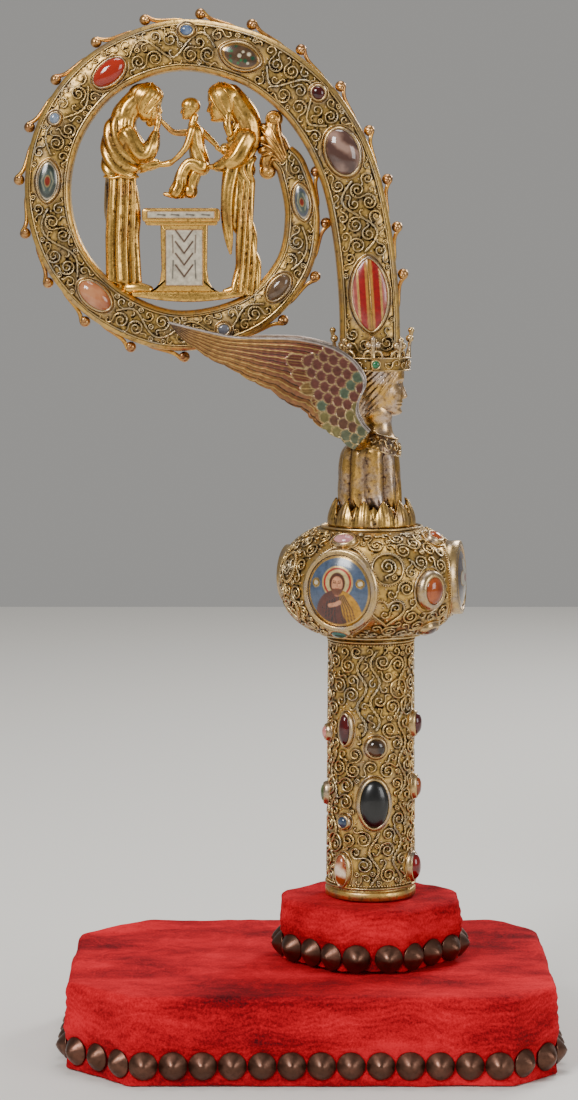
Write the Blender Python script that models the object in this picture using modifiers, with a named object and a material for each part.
"""Gilt crosier head with filigree and set stones, on its velvet-covered stand.

Metres, +Z up. The origin is the centre of the plinth's underside and the crook's broad side faces -Y.
From the bottom up: plinth, boss, hollow shaft, knop, leaf calyx, half-figure angel with its wings and
crown, and the crook, which curls round a cast group of three figures and an altar.
"""

import math
from dataclasses import dataclass

import bmesh
import bpy
from mathutils import Matrix, Vector

MM = 0.001
GAP = 0.3 * MM

# Stand: two velvet-covered blocks and their rows of nails
PLINTH_WIDTH = 194.0 * MM
PLINTH_DEPTH = 139.0 * MM
PLINTH_HEIGHT = 35.7 * MM
PLINTH_CHAMFER_LEFT = 26.5 * MM
PLINTH_CHAMFER_RIGHT = 18.5 * MM
BOSS_WIDTH = 72.6 * MM
BOSS_DEPTH = 67.0 * MM
BOSS_HEIGHT = 25.4 * MM
BOSS_CHAMFER = 23.4 * MM
STAFF_X = 24.6 * MM
COVER_ROUNDING = 3.0 * MM
NAIL_DIAMETER = 11.2 * MM
NAIL_PITCH = 11.5 * MM
NAIL_RISE = 4.6 * MM
NAIL_SINK = 0.8 * MM
NAIL_SIDES = 6
PLINTH_NAIL_LEVEL = 8.4 * MM
BOSS_NAIL_LEVEL = 5.9 * MM

# Shaft: a tube that takes the staff's end
TUBE_FOOT_DIAMETER = 35.4 * MM
TUBE_TOP_DIAMETER = 34.2 * MM
TUBE_WALL = 2.6 * MM
SHAFT_HEIGHT = 105.6 * MM
FERRULE_DIAMETER = 36.6 * MM
FERRULE_HEIGHT = 3.4 * MM
SHAFT_SIDES = 24

# Knop: a flattened turned ball
KNOP_DIAMETER = 73.0 * MM
KNOP_HEIGHT = 44.0 * MM
KNOP_NECK_DIAMETER = 34.6 * MM
KNOP_FULLNESS = 2.4
KNOP_BANDS = 8
KNOP_SIDES = 24

# Leaf calyx
CALYX_DIAMETER = 34.2 * MM
CALYX_WALL = 2.6 * MM
CALYX_RING_HEIGHT = 3.0 * MM
LEAF_COUNT = 12
LEAF_HEIGHT = 10.6 * MM
LEAF_TURN = 17.0
LEAF_RIDGE = 0.9 * MM
LEAF_LEAN = 1.4 * MM

# Angel and crown
ANGEL_HEIGHT = 67.4 * MM
ANGEL_SIDES = 14
CROWN_WALL = 1.3 * MM
CROWN_FLARE = 0.3 * MM
CROWN_BAND_HEIGHT = 5.6 * MM
CROWN_SINK = 5.6 * MM
FLEURON_COUNT = 8
FLEURON_HEIGHT = 12.0 * MM
LOW_FLEURON_SHARE = 0.66

# Crook
CROOK_RISE = 122.0 * MM
CROOK_THICKNESS_SHARE = 0.76
CROOK_BEVEL_SHARE = 0.17
CROOK_SECTIONS_PER_STRETCH = 2
CURVE_FINENESS = 12
CROCKET_COUNT = 23
CROCKET_FIRST = 0.072
CROCKET_LAST = 0.975
CROCKET_BALL = 4.4 * MM
CROCKET_LENGTH = 9.5 * MM
CROCKET_WIDTH = 3.8 * MM

# Wings
WING_THICKNESS = 2.0 * MM
WING_CLEARANCE = 2.4 * MM
WING_PIN_RADIUS = 2.8 * MM
WING_RIM = 0.5 * MM
FEATHER_RIDGE = 0.5 * MM
FEATHER_COUNT = 5

# Figure group, as a share of the crook's rise
GROUP_SHARE = 0.687

# Stone seats
SEAT_RIM = 1.2 * MM
SEAT_SINK_SHARE = 0.8
KNOP_SEAT_DEPTH_SHARE = 0.36

# The crook's spine from the stem's foot to its inner end: x, z and width, in shares of the crook's rise
CROOK_SPINE = (
    (0.000, 0.000, 0.194),
    (-0.005, 0.186, 0.193),
    (-0.025, 0.381, 0.190),
    (-0.066, 0.575, 0.187),
    (-0.137, 0.733, 0.184),
    (-0.247, 0.867, 0.177),
    (-0.409, 0.967, 0.169),
    (-0.635, 1.002, 0.161),
    (-0.854, 0.921, 0.152),
    (-0.998, 0.754, 0.150),
    (-1.050, 0.543, 0.147),
    (-1.002, 0.331, 0.141),
    (-0.857, 0.166, 0.136),
    (-0.639, 0.082, 0.130),
    (-0.400, 0.133, 0.123),
    (-0.258, 0.279, 0.116),
    (-0.222, 0.448, 0.111),
    (-0.254, 0.600, 0.098),
    (-0.290, 0.652, 0.088),
)


@dataclass(frozen=True)
class Stone:
    """A set stone: its outline in millimetres, how far it is turned from upright and how it is cut."""

    name: str
    width: float
    length: float
    turn: float = 0.0
    rise: float = 2.0
    pointed: bool = False
    colour: str = "8A2A12"
    seat_rise: float = 0.9


# Each row: the stone, its azimuth from the front towards +X in degrees, its height up the shaft
SHAFT_STONES = (
    (Stone("shaft_garnet_oval_upper", 5.2, 12.4, 0, 2.0, colour="5A0A10"), -36, 0.655),
    (Stone("shaft_garnet_side_upper", 6.4, 9.0, 0, 2.6, colour="8A0F14"), 76, 0.665),
    (Stone("shaft_brown_round", 7.4, 7.4, 0, 2.2, colour="6A3A22"), 5, 0.590),
    (Stone("shaft_pink_side", 4.4, 5.4, 0, 1.8, colour="C98A84"), -78, 0.630),
    (Stone("shaft_black_oval", 11.6, 19.4, 0, 3.0, colour="0C0B0E"), 3, 0.375),
    (Stone("shaft_blue_round", 4.6, 4.6, 0, 1.6, colour="5B7FB0"), -38, 0.300),
    (Stone("shaft_banded_agate", 6.0, 12.6, 0, 2.2, colour="7A5A4A"), -40, 0.112),
    (Stone("shaft_garnet_side_lower", 6.8, 10.8, 0, 2.8, colour="9A0C14"), 68, 0.116),
    (Stone("shaft_amber_side", 5.4, 8.4, 0, 2.2, colour="A86020"), 80, 0.420),
    (Stone("shaft_moss_agate_side", 5.0, 7.6, 0, 1.8, colour="66704A"), -88, 0.390),
    (Stone("shaft_carnelian_back", 9.0, 14.0, 0, 2.4, colour="A03A18"), 180, 0.400),
    (Stone("shaft_onyx_back", 6.4, 9.0, 0, 2.0, colour="2A2024"), 150, 0.640),
    (Stone("shaft_rose_quartz_back", 6.0, 8.6, 0, 2.0, colour="C08A86"), -148, 0.180),
)

# Each row: the stone, its azimuth, its height above the knop's middle as a share of half the knop's height
KNOP_STONES = (
    (Stone("knop_enamel_medallion", 27.0, 29.0, 0, 3.2, colour="39507E", seat_rise=-1.6), -22, -0.04),
    (Stone("knop_carnelian", 8.6, 11.0, 0, 2.4, colour="B4481C", seat_rise=1.6), 38, -0.05),
    (Stone("knop_grey_medallion", 23.0, 26.0, 0, 2.6, colour="5A5458", seat_rise=-1.2), 78, 0.08),
    (Stone("knop_amber_side", 17.0, 20.0, 0, 2.6, colour="9A6A2C", seat_rise=-0.4), -112, 0.06),
    (Stone("knop_green_enamel_back", 24.0, 26.0, 0, 2.8, colour="4C6A58", seat_rise=-1.4), 158, -0.02),
    (Stone("knop_pink_upper", 8.4, 5.6, 0, 2.0, colour="B98A8C", seat_rise=0.8), -24, 0.80),
    (Stone("knop_orange_upper", 7.0, 5.6, 0, 2.0, colour="C0501C", seat_rise=0.8), 62, 0.80),
    (Stone("knop_brown_lower", 7.6, 5.4, 0, 1.8, colour="6A4630", seat_rise=0.8), 52, -0.78),
    (Stone("knop_teal_lower", 7.0, 5.0, 0, 1.8, colour="3C7A74", seat_rise=0.8), -28, -0.80),
    (Stone("knop_garnet_back", 7.6, 9.6, 0, 2.2, colour="7A1216", seat_rise=1.2), -160, 0.05),
)

# Each row: the stone, how far along the spine and how far across the crook it sits, as shares
CROOK_STONES = (
    (Stone("crook_striped_oval", 14.0, 29.0, 0, 1.4, True, "A84038"), 0.056, 0.01),
    (Stone("crook_pink_agate", 12.6, 18.6, 4, 3.4, colour="8A5A50"), 0.188, 0.02),
    (Stone("crook_garnet", 5.0, 5.6, 0, 1.6, colour="6A0C12"), 0.243, 0.22),
    (Stone("crook_spotted_enamel", 10.0, 16.6, 0, 1.4, True, "7A4A34"), 0.318, -0.04),
    (Stone("crook_blue_outer", 4.2, 5.2, 0, 1.4, colour="6F86B8"), 0.369, 0.27),
    (Stone("crook_carnelian", 8.6, 14.6, -6, 2.8, colour="A8401C"), 0.4455, -0.08),
    (Stone("crook_moonstone", 4.0, 4.4, 0, 1.4, colour="9AA8BE"), 0.509, 0.18),
    (Stone("crook_green_enamel", 8.4, 16.0, 0, 1.4, True, "48544E"), 0.5645, -0.02),
    (Stone("crook_orange_agate", 8.4, 15.2, 0, 3.0, colour="B4602A"), 0.681, 0.0),
    (Stone("crook_grey_small", 4.2, 4.8, 0, 1.0, colour="6A6A70"), 0.806, 0.12),
    (Stone("crook_brown_oval", 6.6, 12.2, 0, 2.6, colour="6A5038"), 0.869, -0.02),
    (Stone("crook_inner_enamel", 6.4, 14.2, 0, 1.2, True, "7A6A6C"), 0.952, 0.02),
)
BACK_STONES = (
    (Stone("crook_back_onyx", 12.0, 20.0, 0, 2.4, colour="2C2428"), 0.080, 0.0),
    (Stone("crook_back_agate", 11.0, 16.0, 0, 2.6, colour="8A6048"), 0.200, 0.0),
    (Stone("crook_back_enamel", 10.0, 15.0, 0, 1.4, True, "3F5A5A"), 0.325, 0.0),
    (Stone("crook_back_carnelian", 8.0, 13.0, 0, 2.4, colour="A84420"), 0.450, 0.0),
    (Stone("crook_back_blue", 7.0, 12.0, 0, 1.6, colour="5A74A0"), 0.565, 0.0),
    (Stone("crook_back_amber", 7.6, 12.0, 0, 2.2, colour="A06A2A"), 0.685, 0.0),
    (Stone("crook_back_garnet", 6.0, 10.0, 0, 2.2, colour="741016"), 0.872, 0.0),
)
CROWN_STONE = Stone("crown_green_stone", 3.2, 3.2, 0, 1.2, colour="3C7A58")

# Leaf at the crook's end: body sections as run, shift outward, half-width share and half-depth share,
# and rolled lobes as run, place across and radius. Runs, shifts and radii are in 1/122 of the crook's rise.
TERMINAL_BODY = ((0.0, 0.0, 0.46, 0.9), (5.4, 0.6, 0.42, 0.9), (10.4, 2.2, 0.3, 0.8), (13.6, 4.4, 0.2, 0.7))
TERMINAL_LOBES = ((-2.4, -8.6, 2.7), (2.0, -7.0, 2.5), (5.2, -3.9, 3.0), (11.2, 0.2, 2.6), (13.1, 5.4, 3.4))

# Wing edges from the root to the tip: x from the staff's axis and z from the angel's foot, in shares
# of the angel's height
WING_LEADING = (
    (-0.02, 0.585),
    (-0.083, 0.690),
    (-0.040, 0.840),
    (-0.110, 1.002),
    (-0.360, 1.110),
    (-0.770, 1.132),
    (-1.202, 1.226),
)
WING_TRAILING = (
    (-0.130, 0.455),
    (-0.235, 0.540),
    (-0.330, 0.600),
    (-0.455, 0.700),
    (-0.640, 0.800),
    (-0.900, 0.935),
    (-1.196, 1.205),
)

# Angel from the foot up, in shares of its height: z, back x, front x, half-depth y, fold depth, nose
ANGEL_LEVELS = (
    (0.000, -0.175, 0.175, 0.165, 0.00, 0.0),
    (0.060, -0.180, 0.178, 0.170, 0.00, 0.0),
    (0.150, -0.205, 0.184, 0.178, 0.07, 0.0),
    (0.260, -0.202, 0.176, 0.184, 0.09, 0.0),
    (0.370, -0.196, 0.168, 0.190, 0.07, 0.0),
    (0.440, -0.178, 0.160, 0.188, 0.04, 0.0),
    (0.495, -0.100, 0.150, 0.140, 0.00, 0.0),
    (0.545, -0.042, 0.120, 0.085, 0.00, 0.0),
    (0.600, -0.045, 0.114, 0.072, 0.00, 0.0),
    (0.622, -0.060, 0.125, 0.084, 0.00, 0.0),
    (0.640, -0.070, 0.172, 0.090, 0.00, 0.004),
    (0.665, -0.095, 0.186, 0.100, 0.00, 0.006),
    (0.700, -0.110, 0.184, 0.108, 0.00, 0.008),
    (0.735, -0.122, 0.188, 0.114, 0.00, 0.014),
    (0.765, -0.130, 0.186, 0.118, 0.00, 0.030),
    (0.810, -0.138, 0.182, 0.122, 0.00, 0.012),
    (0.845, -0.148, 0.194, 0.130, 0.00, 0.0),
    (0.885, -0.165, 0.196, 0.150, 0.00, 0.0),
)
ANGEL_FOLDS = 6
COLLAR_SLOPE = 17.0
COLLAR_HEIGHT_SHARE = 0.075

# Pin through the shoulders that carries both wings: x and z from the angel's foot, in shares of its height
WING_PIN_PLACE = (-0.085, 0.525)

# Fleuron from the foot up: share of its height, half-width, lean and half-thickness in millimetres
FLEURON_LEVELS = ((0.0, 0.8, 0.0, 0.5), (0.4, 0.6, 0.3, 0.5), (0.65, 2.0, 0.6, 0.65), (1.0, 0.7, 1.4, 0.5))


def linear_colour(code):
    """Linear RGBA of an sRGB hex code."""
    channels = [int(code[i:i + 2], 16) / 255 for i in (0, 2, 4)]
    linear = [c / 12.92 if c <= 0.04045 else ((c + 0.055) / 1.055) ** 2.4 for c in channels]
    return (*linear, 1.0)


def make_material(name, code, roughness, metallic):
    """Principled material of one colour."""
    material = bpy.data.materials.new(name)
    material.use_nodes = True
    shader = material.node_tree.nodes["Principled BSDF"]
    shader.inputs["Base Color"].default_value = linear_colour(code)
    shader.inputs["Roughness"].default_value = roughness
    shader.inputs["Metallic"].default_value = metallic
    material.diffuse_color = linear_colour(code)
    return material


class Workshop:
    """The scene's two collections, and the making of objects in them."""

    def __init__(self):
        for item in list(bpy.data.objects):
            bpy.data.objects.remove(item, do_unlink=True)
        self.parts = bpy.data.collections.new("crosier_head")
        self.cutters = bpy.data.collections.new("cutters")
        for collection in (self.parts, self.cutters):
            bpy.context.scene.collection.children.link(collection)

    def part(self, name, mesh, material, place=None, smooth=True):
        """Add a finished piece."""
        mesh.materials.append(material)
        if smooth:
            mesh.shade_smooth()
            mesh.set_sharp_from_angle(angle=math.radians(40))
        piece = bpy.data.objects.new(name, mesh)
        piece.matrix_world = place or Matrix.Identity(4)
        self.parts.objects.link(piece)
        return piece

    def cutter(self, name, mesh, place=None):
        """Add a hidden shape that a Boolean reads."""
        shape = bpy.data.objects.new(name, mesh)
        shape.matrix_world = place or Matrix.Identity(4)
        shape.hide_render = True
        shape.display_type = "WIRE"
        self.cutters.objects.link(shape)
        return shape

    def boolean(self, piece, shapes, operation, overlapping=False):
        """Join the shapes into one cutter and add or subtract it."""
        mesh = join_meshes(piece.name + "_shapes", shapes)
        modifier = piece.modifiers.new(operation.title(), "BOOLEAN")
        modifier.object = self.cutter(piece.name + "_" + operation.lower(), mesh, piece.matrix_world.copy())
        modifier.operation = operation
        modifier.solver = "EXACT"
        modifier.use_self = overlapping


def join_meshes(name, meshes):
    """One mesh of several, which stay separate bodies."""
    bm = bmesh.new()
    for mesh in meshes:
        bm.from_mesh(mesh)
        bpy.data.meshes.remove(mesh)
    return finish_mesh(name, bm)


def finish_mesh(name, bm):
    """Write a bmesh to a new mesh, with its faces pointing out."""
    bmesh.ops.recalc_face_normals(bm, faces=bm.faces)
    mesh = bpy.data.meshes.new(name)
    bm.to_mesh(mesh)
    bm.free()
    return mesh


def moved(mesh, place):
    """The mesh, moved by a matrix."""
    mesh.transform(place)
    return mesh


def loft(name, rings, peaked=False, closed=False):
    """Skin over rings of equal point count, which ends in flat caps, in a peak point or at its own start."""
    bm = bmesh.new()
    rows = [[bm.verts.new(point) for point in ring] for ring in (rings[:-1] if peaked else rings)]
    count = len(rows[0])
    for lower, upper in zip(rows, rows[1:] + (rows[:1] if closed else [])):
        for i in range(count):
            j = (i + 1) % count
            bm.faces.new((lower[i], lower[j], upper[j], upper[i]))
    if closed:
        return finish_mesh(name, bm)
    bm.faces.new(list(reversed(rows[0])))
    if peaked:
        peak = bm.verts.new(rings[-1][0])
        for i in range(count):
            bm.faces.new((rows[-1][i], rows[-1][(i + 1) % count], peak))
    else:
        bm.faces.new(rows[-1])
    return finish_mesh(name, bm)


def box(name, size, centre):
    """Box of a size about a centre."""
    bm = bmesh.new()
    bmesh.ops.create_cube(bm, size=1.0)
    bmesh.ops.scale(bm, vec=Vector(size), verts=bm.verts)
    bmesh.ops.translate(bm, vec=Vector(centre), verts=bm.verts)
    return finish_mesh(name, bm)


def ball(name, radius, centre, rounds=5, sides=8, stretch=(1, 1, 1)):
    """Low-sided ball, stretched if wanted."""
    bm = bmesh.new()
    bmesh.ops.create_uvsphere(bm, u_segments=sides, v_segments=rounds, radius=radius)
    bmesh.ops.scale(bm, vec=Vector(stretch), verts=bm.verts)
    bmesh.ops.translate(bm, vec=Vector(centre), verts=bm.verts)
    return finish_mesh(name, bm)


def catmull_rom(points, steps):
    """Points of a smooth curve through the given ones, with so many steps to a stretch."""
    first = [2 * a - b for a, b in zip(points[0], points[1])]
    last = [2 * a - b for a, b in zip(points[-1], points[-2])]
    knots = [first, *points, last]
    curve = []
    for before, start, end, after in zip(knots, knots[1:], knots[2:], knots[3:]):
        for step in range(steps):
            t = step / steps
            curve.append([
                b + 0.5 * t * ((c - a) + t * (2 * a - 5 * b + 4 * c - d + t * (3 * b - a - 3 * c + d)))
                for a, b, c, d in zip(before, start, end, after)
            ])
    curve.append(list(points[-1]))
    return curve


def chamfered_outline(width, depth, left_chamfer, right_chamfer):
    """Corners of a rectangle with its corners cut off, anticlockwise from the front's left end."""
    x, y, left, right = width / 2, depth / 2, left_chamfer, right_chamfer
    return [
        (-x + left, -y), (x - right, -y), (x, -y + right), (x, y - right),
        (x - right, y), (-x + left, y), (-x, y - left), (-x, -y + left),
    ]


def nail_mesh():
    """Cone-headed nail that leaves the plane z = 0, sunk a little below it."""
    radius = NAIL_DIAMETER / 2
    angles = [2 * math.pi * (i + 0.5) / NAIL_SIDES for i in range(NAIL_SIDES)]
    rings = [
        [Vector((r * math.cos(a), r * math.sin(a), z)) for a in angles]
        for r, z in ((radius, -NAIL_SINK), (0.0, NAIL_RISE))
    ]
    return loft("nail", rings, peaked=True)


def nail_row(outline, level):
    """Nails round a block at a height, evenly spaced along each of its sides."""
    nails = []
    for start, end in zip(outline, outline[1:] + outline[:1]):
        start, end = Vector((*start, level)), Vector((*end, level))
        along = (end - start).normalized()
        outward = Vector((along.y, -along.x, 0))
        turn = Matrix((along, Vector((0, 0, 1)), outward)).transposed().to_4x4()
        count = round((end - start).length / NAIL_PITCH)
        for i in range(count):
            point = start.lerp(end, (i + 0.5) / count)
            nails.append(moved(nail_mesh(), Matrix.Translation(point) @ turn))
    return nails


def covered_block(shop, name, outline, foot, height, nail_level, material, centre_x=0.0):
    """Velvet-covered block with rounded upper edges and a row of nails, flat below."""
    rings = [[Vector((x, y, z)) for x, y in outline] for z in (0.0, height)]
    block = shop.part(name, loft(name, rings), material, Matrix.Translation((centre_x, 0, foot)))
    weights = block.data.attributes.new("bevel_weight_edge", "FLOAT", "EDGE")
    for edge in block.data.edges:
        level = [block.data.vertices[i].co.z for i in edge.vertices]
        weights.data[edge.index].value = 0.0 if max(level) < height / 2 else 1.0
    bevel = block.modifiers.new("Rounding", "BEVEL")
    bevel.width = COVER_ROUNDING
    bevel.segments = 2
    bevel.limit_method = "WEIGHT"
    shop.boolean(block, nail_row(outline, nail_level), "UNION", overlapping=True)
    return block


def turned(shop, name, profile, sides, material, place):
    """Turned solid: a closed or axis-touching profile of (radius, height), swept by a Screw modifier."""
    bm = bmesh.new()
    points = [bm.verts.new((radius, 0.0, height)) for radius, height in profile]
    closed = profile[0][0] > 0 and profile[-1][0] > 0
    for a, b in zip(points, points[1:] + (points[:1] if closed else [])):
        bm.edges.new((a, b))
    mesh = bpy.data.meshes.new(name)
    bm.to_mesh(mesh)
    bm.free()
    piece = shop.part(name, mesh, material, place, smooth=False)
    screw = piece.modifiers.new("Turning", "SCREW")
    screw.axis = "Z"
    screw.angle = 2 * math.pi
    screw.steps = sides
    screw.render_steps = sides
    screw.use_merge_vertices = True
    screw.merge_threshold = 0.0001 * MM
    screw.use_smooth_shade = True
    return piece


def stone_outline(stone, grow, sides):
    """Outline of a stone, grown all round: an oval, or one with a point at each end."""
    half_width = stone.width * MM / 2 + grow
    half_length = stone.length * MM / 2 + grow
    power = 0.8 if stone.pointed else 1.0
    outline = []
    for i in range(sides):
        angle = 2 * math.pi * (i + 0.5 * (not stone.pointed)) / sides + math.pi / 2
        across = math.copysign(abs(math.cos(angle)) ** (1 / power), math.cos(angle))
        outline.append((half_width * across, half_length * math.sin(angle)))
    return outline


def stone_sides(stone):
    """Side count of a stone, more on a large one."""
    size = max(stone.width, stone.length)
    return 10 if size > 16 else 8 if size > 10 else 6


def set_stone(shop, stone, surface, sink):
    """Add the stone at a place whose +Z leaves the surface and return its seat, in world space."""
    turn = Matrix.Rotation(math.radians(-stone.turn), 4, "Z")
    place = surface @ turn
    sides = stone_sides(stone)
    top = stone.seat_rise * MM
    seat = stone_outline(stone, SEAT_RIM, sides)
    seat_rings = [[Vector((x, y, z)) for x, y in seat] for z in (-sink, top)]
    edge = stone_outline(stone, 0.0, sides)
    rings = [
        [Vector((x * share, y * share, top + GAP + z * stone.rise * MM)) for x, y in edge]
        for share, z in ((1.0, 0.0), (0.72, 0.7))
    ]
    rings.append([Vector((0, 0, top + GAP + stone.rise * MM))])
    shiny = make_material(stone.name, stone.colour, 0.15, 0.0)
    shop.part(stone.name, loft(stone.name, rings, peaked=True), shiny, place)
    return moved(loft(stone.name + "_seat", seat_rings), place)


def stone_pocket(stone, surface):
    """Room for a stone whose seat lies below the surface, in world space."""
    turn = Matrix.Rotation(math.radians(-stone.turn), 4, "Z")
    edge = stone_outline(stone, GAP, stone_sides(stone))
    levels = (stone.seat_rise * MM, max(stone.width, stone.length) * MM / 2)
    rings = [[Vector((x, y, z)) for x, y in edge] for z in levels]
    return moved(loft(stone.name + "_pocket", rings), surface @ turn)


def on_turned_surface(azimuth, radius, height, slope, centre):
    """Place on a turned surface: +Z outward, +Y up, tipped by the surface's slope."""
    angle = math.radians(azimuth)
    outward = Vector((math.sin(angle), -math.cos(angle), 0))
    up = Vector((0, 0, 1))
    normal = (outward * math.cos(slope) + up * math.sin(slope)).normalized()
    raised = (up * math.cos(slope) - outward * math.sin(slope)).normalized()
    turn = Matrix((raised.cross(normal), raised, normal)).transposed().to_4x4()
    return Matrix.Translation(Vector(centre) + outward * radius + up * height) @ turn


def build_shaft(shop, foot, material):
    """Tube with a plain ferrule below, and a seat for each stone."""
    outer_foot, outer_top = TUBE_FOOT_DIAMETER / 2, TUBE_TOP_DIAMETER / 2
    bore = outer_top - TUBE_WALL
    profile = [
        (outer_top, SHAFT_HEIGHT),
        (outer_foot, FERRULE_HEIGHT + 1.2 * MM),
        (FERRULE_DIAMETER / 2, FERRULE_HEIGHT),
        (FERRULE_DIAMETER / 2, 0.0),
        (bore, 0.0),
        (bore, SHAFT_HEIGHT),
    ]
    shaft = turned(shop, "shaft", profile, SHAFT_SIDES, material, Matrix.Translation((STAFF_X, 0, foot)))
    seats = []
    flat = math.cos(math.pi / SHAFT_SIDES)
    for stone, azimuth, share in SHAFT_STONES:
        radius = (outer_foot + (outer_top - outer_foot) * share) * flat
        surface = on_turned_surface(azimuth, radius, share * SHAFT_HEIGHT, 0.0, (0, 0, 0))
        world = Matrix.Translation((STAFF_X, 0, foot)) @ surface
        seats.append(set_stone(shop, stone, world, TUBE_WALL * SEAT_SINK_SHARE))
    local = [moved(seat, shaft.matrix_world.inverted()) for seat in seats]
    shop.boolean(shaft, local, "UNION", overlapping=True)
    return shaft


def knop_radius(share):
    """Radius of the knop at a height from its middle, as a share of half its height."""
    neck = KNOP_NECK_DIAMETER / KNOP_DIAMETER
    reach = (1 - neck ** KNOP_FULLNESS) ** (1 / KNOP_FULLNESS)
    return KNOP_DIAMETER / 2 * (1 - (abs(share) * reach) ** KNOP_FULLNESS) ** (1 / KNOP_FULLNESS)


def knop_slope(share):
    """Angle by which the knop's surface faces up at a height."""
    step = 0.02
    fall = knop_radius(min(share + step, 1.0)) - knop_radius(max(share - step, -1.0))
    rise = (min(share + step, 1.0) - max(share - step, -1.0)) * KNOP_HEIGHT / 2
    return math.atan2(-fall, rise)


def build_knop(shop, foot, material):
    """Flattened ball with flat necks, and a seat for each stone."""
    shares = [-math.cos(math.pi * i / KNOP_BANDS) for i in range(KNOP_BANDS, -1, -1)]
    profile = [(0.0, KNOP_HEIGHT / 2)]
    profile += [(knop_radius(share), share * KNOP_HEIGHT / 2) for share in shares]
    profile.append((0.0, -KNOP_HEIGHT / 2))
    middle = (STAFF_X, 0, foot + KNOP_HEIGHT / 2)
    knop = turned(shop, "knop", profile, KNOP_SIDES, material, Matrix.Translation(middle))
    seats, pockets = [], []
    for stone, azimuth, share in KNOP_STONES:
        height = share * KNOP_HEIGHT / 2
        surface = on_turned_surface(azimuth, knop_radius(share), height, knop_slope(share), middle)
        seats.append(set_stone(shop, stone, surface, max(stone.width, stone.length) * MM * KNOP_SEAT_DEPTH_SHARE))
        if stone.seat_rise < 0:
            pockets.append(stone_pocket(stone, surface))
    inverse = knop.matrix_world.inverted()
    shop.boolean(knop, [moved(seat, inverse) for seat in seats], "UNION", overlapping=True)
    shop.boolean(knop, [moved(pocket, inverse) for pocket in pockets], "DIFFERENCE")
    return knop


def build_calyx(shop, foot, material):
    """Ring of pointed, ridged leaves round the angel's foot, lofted round from leaf to leaf."""
    radius = CALYX_DIAMETER / 2
    sections = []
    for i in range(2 * LEAF_COUNT):
        on_rib = i % 2 == 0
        top = LEAF_HEIGHT if on_rib else CALYX_RING_HEIGHT
        proud = LEAF_RIDGE if on_rib else 0.0
        lean = LEAF_LEAN * top / LEAF_HEIGHT
        profile = (
            (radius, 0.0), (radius + proud + 0.4 * lean, 0.5 * top), (radius - 0.4 * CALYX_WALL + lean, top),
            (radius - CALYX_WALL + 0.4 * lean, 0.5 * top), (radius - CALYX_WALL, 0.0),
        )
        azimuth = math.radians(LEAF_TURN + 180.0 * i / LEAF_COUNT - 90)
        sections.append([Vector((r * math.cos(azimuth), r * math.sin(azimuth), z)) for r, z in profile])
    mesh = loft("leaf_calyx", sections, closed=True)
    return shop.part("leaf_calyx", mesh, material, Matrix.Translation((STAFF_X, 0, foot)))


def crown_inner_radius():
    """Bore of the crown, which clears the crook's stem."""
    width = CROOK_SPINE[0][2] * CROOK_RISE
    depth = width * CROOK_THICKNESS_SHARE
    bevel = width * CROOK_BEVEL_SHARE
    corner = max(math.hypot(width / 2, depth / 2 - bevel), math.hypot(width / 2 - bevel, depth / 2))
    return corner + 2 * GAP


def wing_root_reach():
    """Distance of a wing's root from the middle plane, which clears the crown."""
    return crown_inner_radius() + GAP + CROWN_WALL + CROWN_FLARE + GAP


def oval_ring(back, front, depth, z, sides, folds=0, relief=0.0, nose=0.0):
    """Oval ring in the XY plane between a back and a front x, with folds, and a nose at its front."""
    centre, half = (back + front) / 2, (front - back) / 2
    ring = []
    for i in range(sides):
        angle = 2 * math.pi * i / sides
        swell = 1.0 + relief * math.cos(folds * angle) if folds else 1.0
        push = nose if i == 0 else 0.0
        ring.append(Vector((centre + half * swell * math.cos(angle) + push, depth * swell * math.sin(angle), z)))
    return ring


def build_angel(shop, foot, material):
    """Half-figure in profile: draped body, sloping collar, neck, and a head whose top fills the crown."""
    height = ANGEL_HEIGHT
    rings = []
    for z, back, front, depth, relief, nose in ANGEL_LEVELS:
        values = [value * height for value in (back, front, depth, z)]
        rings.append(oval_ring(*values, ANGEL_SIDES, ANGEL_FOLDS, relief, nose * height))
    cap = (crown_inner_radius() - GAP) * math.cos(math.pi / ANGEL_SIDES) - GAP
    for z in (height - CROWN_SINK + 0.2 * MM, height):
        rings.append(oval_ring(-cap, cap, cap, z, ANGEL_SIDES))
    angel = shop.part("angel", loft("angel", rings), material, Matrix.Translation((STAFF_X, 0, foot)))
    tilt = Matrix.Rotation(math.radians(COLLAR_SLOPE), 4, "Y")
    collar_height = COLLAR_HEIGHT_SHARE * height
    collar_rings = [
        oval_ring(-0.135 * height, 0.135 * height, 0.172 * height, -0.5 * collar_height, ANGEL_SIDES),
        oval_ring(-0.128 * height, 0.132 * height, 0.160 * height, 0.1 * collar_height, ANGEL_SIDES),
        oval_ring(-0.070 * height, 0.085 * height, 0.100 * height, 0.9 * collar_height, ANGEL_SIDES),
    ]
    collar = moved(loft("collar", collar_rings), Matrix.Translation((0.044 * height, 0, 0.490 * height)) @ tilt)
    reach = wing_root_reach() - GAP
    pin_x, pin_z = [value * height for value in WING_PIN_PLACE]
    pin_rings = [
        [
            Vector((pin_x + math.cos(a) * WING_PIN_RADIUS, y, pin_z + math.sin(a) * WING_PIN_RADIUS))
            for a in (2 * math.pi * k / 8 for k in range(8))
        ]
        for y in (-reach, reach)
    ]
    shop.boolean(angel, [collar, loft("wing_pin", pin_rings)], "UNION", overlapping=True)
    return angel


def fleuron_mesh(radius, height):
    """Three-lobed upright of the crown at +X, leaning out to its tip."""
    rings = []
    for share, span, lean, thick in FLEURON_LEVELS:
        x = radius + lean * MM
        z = height * share
        rings.append([Vector((x + a * thick * MM, b * span * MM, z)) for a, b in ((-1, -1), (1, -1), (1, 1), (-1, 1))])
    return loft("fleuron", rings)


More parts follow.
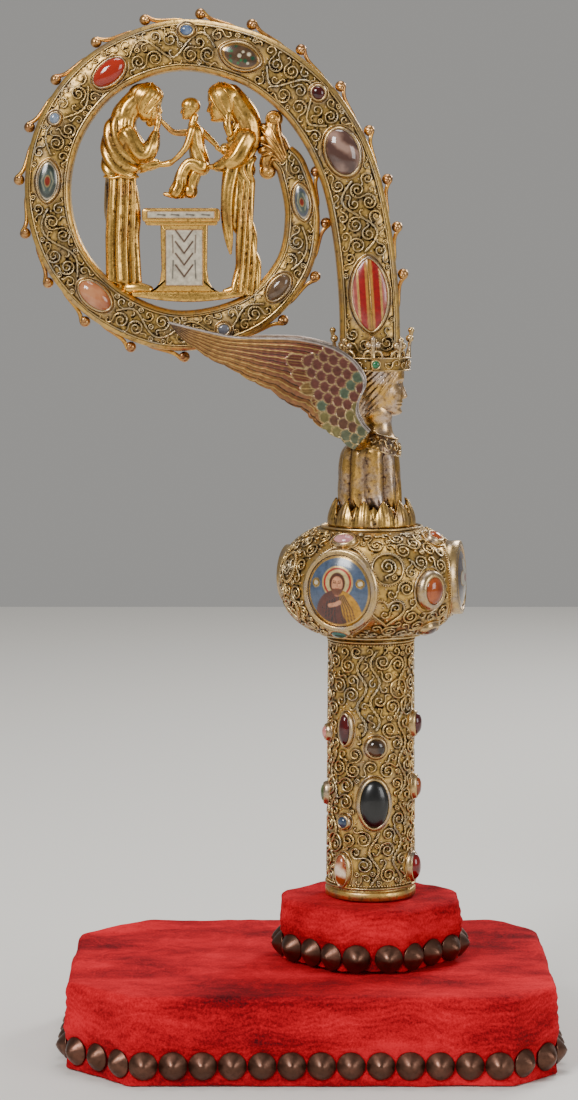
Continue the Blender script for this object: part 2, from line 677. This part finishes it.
def build_crown(shop, foot, material):
    """Crown band with fleurons, alternately tall and low, and a seat for its stone."""
    inner = crown_inner_radius() + GAP
    outer = inner + CROWN_WALL
    profile = [
        (outer + CROWN_FLARE, CROWN_BAND_HEIGHT), (outer, 0.0), (inner, 0.0), (inner, CROWN_BAND_HEIGHT),
    ]
    place = Matrix.Translation((STAFF_X, 0, foot))
    crown = turned(shop, "crown", profile, ANGEL_SIDES, material, place)
    shapes = []
    for i in range(FLEURON_COUNT):
        height = FLEURON_HEIGHT * (1.0 if i % 2 == 0 else LOW_FLEURON_SHARE)
        lifted = Matrix.Translation((0, 0, CROWN_BAND_HEIGHT - 1.0 * MM))
        turn = Matrix.Rotation(2 * math.pi * i / FLEURON_COUNT, 4, "Z")
        shapes.append(moved(fleuron_mesh(inner + CROWN_WALL / 2, height), turn @ lifted))
    surface = on_turned_surface(4.0, outer, CROWN_BAND_HEIGHT / 2, 0.0, place.translation)
    seat = set_stone(shop, CROWN_STONE, surface, CROWN_WALL * SEAT_SINK_SHARE)
    shapes.append(moved(seat, place.inverted()))
    shop.boolean(crown, shapes, "UNION", overlapping=True)
    return crown


class Crook:
    """The crook's spine and section, in world space."""

    def __init__(self, foot):
        scaled = [[value * CROOK_RISE for value in row] for row in CROOK_SPINE]
        curve = catmull_rom(scaled, CROOK_SECTIONS_PER_STRETCH * CURVE_FINENESS)
        self.points = [Vector((STAFF_X - 0.7 * MM + x, 0, foot + z)) for x, z, width in curve]
        self.widths = [width for x, z, width in curve]
        self.walked = [0.0]
        for a, b in zip(self.points, self.points[1:]):
            self.walked.append(self.walked[-1] + (b - a).length)

    def index(self, share):
        """Index of the curve point at a share of the spine's length."""
        target = share * self.walked[-1]
        return min(range(len(self.walked)), key=lambda i: abs(self.walked[i] - target))

    def frame(self, i):
        """Direction of growth and the outward normal at a curve point."""
        ahead = self.points[min(i + 1, len(self.points) - 1)]
        along = (ahead - self.points[max(i - 1, 0)]).normalized()
        return along, Vector((along.z, 0, -along.x))

    def section(self, i, grow):
        """Eight-sided section, grown all round: flat faces front and back, bevelled to narrow edges."""
        width = self.widths[i]
        depth = width * CROOK_THICKNESS_SHARE
        bevel = width * CROOK_BEVEL_SHARE
        w, d, n = width / 2 + grow, depth / 2 + grow, self.frame(i)[1]
        outline = (
            (w, -d + bevel), (w, d - bevel), (w - bevel, d), (-w + bevel, d),
            (-w, d - bevel), (-w, -d + bevel), (-w + bevel, -d), (w - bevel, -d),
        )
        return [self.points[i] + n * across + Vector((0, y, 0)) for across, y in outline]

    def mesh(self, grow=0.0):
        """Skin of the crook, grown if wanted."""
        return loft("crook", [self.section(i, grow) for i in range(0, len(self.points), CURVE_FINENESS)])

    def surface(self, share, across, side):
        """Place on the front (side -1) or back (side 1) face: +Z leaves the face and +Y follows the spine."""
        i = self.index(share)
        along, outward = self.frame(i)
        normal = Vector((0, side, 0))
        depth = self.widths[i] * CROOK_THICKNESS_SHARE / 2
        point = self.points[i] + outward * across * self.widths[i] + normal * depth
        turn = Matrix((along.cross(normal), along, normal)).transposed().to_4x4()
        return Matrix.Translation(point) @ turn

    def crocket(self, share):
        """Ribbon that peels off the outer edge and ends in a ball."""
        i = self.index(share)
        along, outward = self.frame(i)
        edge = self.points[i] + outward * self.widths[i] / 2
        ball_radius, half = CROCKET_BALL / 2, CROCKET_WIDTH / 2
        rings = []
        for back, lift, thick, span in ((1.0, -1.6, 0.7, 1.0), (0.42, 0.9, 0.7, 0.9)):
            centre = edge - along * CROCKET_LENGTH * back + outward * lift * MM
            rings.append([
                centre + outward * math.cos(a) * thick * MM + Vector((0, math.sin(a) * half * span, 0))
                for a in (2 * math.pi * k / 5 for k in range(5))
            ])
        ball_centre = edge + outward * (ball_radius + 0.7 * MM)
        for step, size in ((-0.45, 0.95), (0.55, 0.9)):
            centre = ball_centre + along * step * ball_radius
            rings.append([
                centre + (outward * math.cos(a) + Vector((0, math.sin(a), 0))) * ball_radius * size
                for a in (2 * math.pi * k / 5 for k in range(5))
            ])
        return loft("crocket", rings)

    def inner_floor(self, x):
        """Height of the loop's inner edge below a place inside it."""
        candidates = []
        for i, point in enumerate(self.points):
            if self.walked[i] > 0.55 * self.walked[-1]:
                inner = point - self.frame(i)[1] * self.widths[i] / 2
                candidates.append((abs(inner.x - x), inner.z))
        return min(candidates)[1]


def build_crook(shop, crook, material):
    """Crook with its crockets and a seat for each stone."""
    piece = shop.part("crook", crook.mesh(), material)
    step = (CROCKET_LAST - CROCKET_FIRST) / (CROCKET_COUNT - 1)
    shapes = [crook.crocket(CROCKET_FIRST + step * i) for i in range(CROCKET_COUNT)]
    for side, stones in ((-1, CROOK_STONES), (1, BACK_STONES)):
        for stone, share, across in stones:
            shapes.append(set_stone(shop, stone, crook.surface(share, across, side), 2.0 * MM))
    shop.boolean(piece, shapes, "UNION", overlapping=True)
    return piece


def build_terminal(shop, crook, material):
    """Cast leaf that ends the crook: a tapering body with rolled lobes."""
    last = len(crook.points) - 1
    along, outward = crook.frame(last)
    width = crook.widths[last]
    depth = width * CROOK_THICKNESS_SHARE / 2
    start = crook.points[last] + along * GAP
    unit = CROOK_RISE / 122.0
    rings = []
    for run, shift, span, thick in TERMINAL_BODY:
        centre = start + along * run * unit + outward * shift * unit
        rings.append([
            centre + outward * math.cos(a) * width * span + Vector((0, math.sin(a) * depth * thick, 0))
            for a in (math.pi / 8 + 2 * math.pi * k / 8 for k in range(8))
        ])
    piece = shop.part("crook_leaf_terminal", loft("terminal", rings), material)
    lobes = []
    for run, across, size in TERMINAL_LOBES:
        centre = start + along * run * unit + outward * across * unit
        lobes.append(ball("lobe", size * unit, centre, rounds=4, sides=6))
    shop.boolean(piece, lobes, "UNION", overlapping=True)
    return piece


def build_wing(shop, name, foot, side, root_y, tip_y, material):
    """Wing plate lofted from its root to its tip, with feather ridges on the outer face."""
    steps = 2
    leading = catmull_rom(WING_LEADING, steps)
    trailing = catmull_rom(WING_TRAILING, steps)
    rings = []
    for i, (lead, trail) in enumerate(zip(leading, trailing)):
        share = i / (len(leading) - 1)
        inner_y = root_y + (tip_y - root_y) * max(0.0, 2.0 * share - 1.0)
        ridge = FEATHER_RIDGE * min(1.0, 2.0 * share)
        outer, inner = [], []
        stations = 2 * FEATHER_COUNT
        for k in range(stations + 1):
            t = k / stations
            x = STAFF_X + ANGEL_HEIGHT * (lead[0] + (trail[0] - lead[0]) * t)
            z = foot + ANGEL_HEIGHT * (lead[1] + (trail[1] - lead[1]) * t)
            raised = WING_THICKNESS + (ridge if k % 2 == 0 else -ridge) + (WING_RIM if k == 0 else 0.0)
            outer.append(Vector((x, side * (inner_y + raised), z)))
            if k % stations == 0:
                inner.append(Vector((x, side * inner_y, z)))
        rings.append(outer + inner[::-1])
    return shop.part(name, loft(name, rings), material)


# Group of figures, in units of 1/84 of its height, from the middle of its ground plate's top.
# Robe levels: height, left x, right x, depth y. Limbs: x, y, z and radius at each joint.
OLD_MAN_ROBE = (
    (-0.5, -29.0, -14.6, 12.0), (8, -30.2, -15.8, 11.0), (24, -29.8, -16.6, 10.4), (37, -31.2, -17.0, 10.4),
    (47, -30.6, -17.4, 10.4), (57, -32.2, -16.6, 10.8), (63, -31.4, -16.4, 10.4), (69, -28.0, -14.6, 8.0),
    (72, -24.0, -14.6, 5.4),
)
OLD_MAN_LIMBS = (
    ((-20.0, -3.6, 64.5, 3.4), (-14.0, -4.2, 59.0, 3.0), (-11.0, -4.0, 65.0, 2.0), (-8.6, -3.2, 70.4, 1.3)),
    ((-21.0, 3.0, 62.0, 3.4), (-15.4, 3.4, 54.4, 3.0), (-7.0, 1.8, 53.6, 2.2), (-1.5, 0.6, 54.6, 1.6)),
    ((-15.0, -1.0, 74.0, 3.4), (-12.6, -1.0, 69.6, 2.6), (-11.4, -1.0, 66.4, 0.9)),
    ((-22.0, -1.5, 1.2, 3.4), (-15.0, -2.0, 1.0, 2.6), (-11.8, -2.2, 0.4, 1.4)),
)
MOTHER_ROBE = (
    (-0.5, 17.0, 32.2, 11.5), (8, 19.6, 31.6, 10.8), (22, 18.6, 30.4, 10.0), (36, 15.4, 29.6, 10.0),
    (47, 16.2, 28.6, 9.4), (56, 16.4, 29.2, 10.4), (64, 17.8, 29.6, 10.0), (69, 18.4, 28.0, 7.0),
)
MOTHER_LIMBS = (
    ((24.0, -4.0, 64.0, 3.2), (21.6, -5.0, 54.0, 3.2), (16.0, -3.6, 50.6, 2.4), (10.2, -1.6, 51.4, 1.5)),
    ((24.0, 4.0, 64.0, 3.0), (20.0, 4.6, 57.0, 2.8), (14.0, 2.6, 57.6, 2.2), (9.4, 1.0, 58.4, 1.5)),
    ((21.0, -4.4, 50.0, 2.8), (20.0, -5.0, 38.0, 2.6), (19.4, -4.6, 22.0, 1.6), (19.4, -4.2, 14.6, 0.7)),
    ((23.0, -1.0, 66.0, 3.0), (18.6, -0.6, 70.0, 2.2)),
)
CHILD_LIMBS = (
    ((3.6, 0.0, 69.6, 1.5), (3.6, 0.0, 64.6, 3.2), (5.6, 0.0, 57.0, 3.4), (6.0, 0.0, 50.0, 3.2), (2.0, 0.0, 47.4, 2.2)),
    ((3.0, -1.6, 65.6, 1.7), (-2.4, -2.0, 67.4, 1.4), (-7.6, -2.6, 67.6, 1.0)),
    ((5.0, 1.0, 65.4, 1.7), (10.0, 0.8, 61.6, 1.4), (14.6, 0.4, 58.0, 1.2), (18.0, 0.4, 58.0, 1.2)),
    ((4.6, -1.6, 50.6, 2.6), (0.2, -1.8, 48.6, 2.0), (-2.8, -1.8, 43.4, 1.5), (-5.2, -1.8, 40.0, 1.2)),
    ((6.0, 1.6, 50.0, 2.6), (3.6, 1.8, 46.6, 1.9), (3.8, 1.8, 41.0, 1.4), (2.4, 1.4, 39.2, 1.1)),
)
# Heads: centre, height, depth from face to back, width, and the way the face looks in degrees from +X
GROUP_HEADS = (
    ((-15.2, 0.0, 76.6), 14.4, 12.6, 9.4, 0.0),
    ((16.6, 0.0, 76.2), 14.6, 12.4, 9.6, 180.0),
    ((3.3, 0.0, 72.8), 7.4, 7.2, 6.4, 180.0),
)
HEAD_LEVELS = (
    (-0.50, -0.10, 0.30, 0.24, 0.0), (-0.38, -0.30, 0.43, 0.40, 0.0), (-0.20, -0.42, 0.44, 0.46, 0.02),
    (-0.06, -0.48, 0.44, 0.49, 0.09), (0.06, -0.50, 0.41, 0.50, 0.02), (0.20, -0.50, 0.44, 0.50, 0.0),
    (0.38, -0.42, 0.34, 0.40, 0.0), (0.50, -0.18, 0.14, 0.18, 0.0),
)
ALTAR_SLAB = ((-15.6, 15.4), 27.4, 33.0, 11.0)
ALTAR_PEDESTAL = ((-8.4, 9.4), 9.0)
GROUND_HALF_DEPTH = 6.0


def limb_mesh(joints, unit, sides=5):
    """Rounded limb through its joints."""
    rings = []
    for i, (x, y, z, radius) in enumerate(joints):
        before, after = joints[max(i - 1, 0)], joints[min(i + 1, len(joints) - 1)]
        along = (Vector(after[:3]) - Vector(before[:3])).normalized()
        across = along.cross(Vector((0, 1, 0))).normalized()
        side = across.cross(along)
        rings.append([
            (Vector((x, y, z)) + (across * math.cos(a) + side * math.sin(a)) * radius) * unit
            for a in (2 * math.pi * k / sides for k in range(sides))
        ])
    return loft("limb", rings)


def head_mesh(centre, height, depth, width, yaw, unit):
    """Head with a brow, nose and chin, turned by its yaw."""
    rings = []
    for z, back, front, half, nose in HEAD_LEVELS:
        ring = oval_ring(back * depth, front * depth, half * width, z * height, 8, nose=nose * depth)
        rings.append([point * unit for point in ring])
    turn = Matrix.Rotation(math.radians(yaw), 4, "Z")
    return moved(loft("head", rings), Matrix.Translation(Vector(centre) * unit) @ turn)


def robe_mesh(levels, unit, folds, relief, sides=10):
    """Draped robe, with folds that deepen towards the ground."""
    top = levels[-1][0]
    rings = []
    for z, left, right, depth in levels:
        depth_share = max(0.0, 1.0 - z / (0.8 * top))
        ring = oval_ring(left, right, depth / 2, z, sides, folds, relief * depth_share)
        rings.append([point * unit for point in ring])
    return loft("robe", rings)


def ground_mesh(crook, origin, unit):
    """Ground plate whose underside follows the crook's inner edge."""
    left, right, stations = -20.0 * unit, 26.0 * unit, 8
    rings = []
    for i in range(stations + 1):
        x = left + (right - left) * i / stations
        floor = crook.inner_floor(origin.x + x) + 2 * GAP - origin.z
        low = min(max(floor, -5.0 * unit), -1.0 * unit)
        half = GROUND_HALF_DEPTH * unit
        rings.append([Vector((x, -half, low)), Vector((x, half, low)), Vector((x, half, 0)), Vector((x, -half, 0))])
    return loft("ground", rings)


def build_group(shop, crook, material):
    """Old man, child and mother at an altar, cast in one with their ground plate."""
    height = GROUP_SHARE * CROOK_RISE
    unit = height / 84.0
    middle_x = STAFF_X - 0.7 * MM - 0.618 * CROOK_RISE
    origin = Vector((middle_x, 0, crook.inner_floor(middle_x) + 7.6 * unit))
    (slab_left, slab_right), slab_low, slab_high, slab_depth = ALTAR_SLAB
    (leg_left, leg_right), leg_depth = ALTAR_PEDESTAL
    shapes = [robe_mesh(OLD_MAN_ROBE, unit, 5, 0.13), robe_mesh(MOTHER_ROBE, unit, 5, 0.13)]
    shapes += [limb_mesh(joints, unit) for joints in OLD_MAN_LIMBS + MOTHER_LIMBS + CHILD_LIMBS]
    shapes += [head_mesh(*head, unit) for head in GROUP_HEADS]
    slab_size = (slab_right - slab_left, slab_depth, slab_high - slab_low)
    slab_centre = ((slab_left + slab_right) / 2, 0, (slab_low + slab_high) / 2)
    leg_size = (leg_right - leg_left, leg_depth, slab_low + 1.0)
    leg_centre = ((leg_left + leg_right) / 2, 0, slab_low / 2)
    shapes.append(box("slab", [v * unit for v in slab_size], [v * unit for v in slab_centre]))
    shapes.append(box("pedestal", [v * unit for v in leg_size], [v * unit for v in leg_centre]))
    group = shop.part("temple_group", ground_mesh(crook, origin, unit), material, Matrix.Translation(origin))
    shop.boolean(group, shapes, "UNION", overlapping=True)
    bed = moved(crook.mesh(grow=GAP), group.matrix_world.inverted())
    shop.boolean(group, [bed], "DIFFERENCE")
    return group


def main():
    """Build the whole crosier head, from the stand up."""
    shop = Workshop()
    velvet = make_material("red_velvet", "A81224", 0.9, 0.0)
    gilt = make_material("gilt_silver", "B8935A", 0.35, 0.95)
    bright_gilt = make_material("bright_gilt", "D0A048", 0.28, 1.0)
    worn_gilt = make_material("worn_gilt", "9A8068", 0.38, 0.95)

    plinth_outline = chamfered_outline(PLINTH_WIDTH, PLINTH_DEPTH, PLINTH_CHAMFER_LEFT, PLINTH_CHAMFER_RIGHT)
    boss_outline = chamfered_outline(BOSS_WIDTH, BOSS_DEPTH, BOSS_CHAMFER, BOSS_CHAMFER)
    boss_foot = PLINTH_HEIGHT + GAP
    covered_block(shop, "plinth", plinth_outline, 0.0, PLINTH_HEIGHT, PLINTH_NAIL_LEVEL, velvet)
    covered_block(shop, "boss", boss_outline, boss_foot, BOSS_HEIGHT, BOSS_NAIL_LEVEL, velvet, STAFF_X)

    shaft_foot = boss_foot + BOSS_HEIGHT + GAP
    knop_foot = shaft_foot + SHAFT_HEIGHT + GAP
    calyx_foot = knop_foot + KNOP_HEIGHT + GAP
    crown_foot = calyx_foot + ANGEL_HEIGHT - CROWN_SINK
    stem_foot = calyx_foot + ANGEL_HEIGHT + GAP
    build_shaft(shop, shaft_foot, gilt)
    build_knop(shop, knop_foot, gilt)
    build_calyx(shop, calyx_foot, worn_gilt)
    build_angel(shop, calyx_foot, worn_gilt)
    build_crown(shop, crown_foot, gilt)

    crook = Crook(stem_foot)
    build_crook(shop, crook, gilt)
    build_terminal(shop, crook, bright_gilt)
    build_group(shop, crook, bright_gilt)

    root_y = wing_root_reach()
    tip_y = max(crook.widths) * CROOK_THICKNESS_SHARE / 2 + WING_CLEARANCE
    for side, name in ((-1, "wing_front"), (1, "wing_back")):
        build_wing(shop, name, calyx_foot, side, root_y, tip_y, worn_gilt)


main()
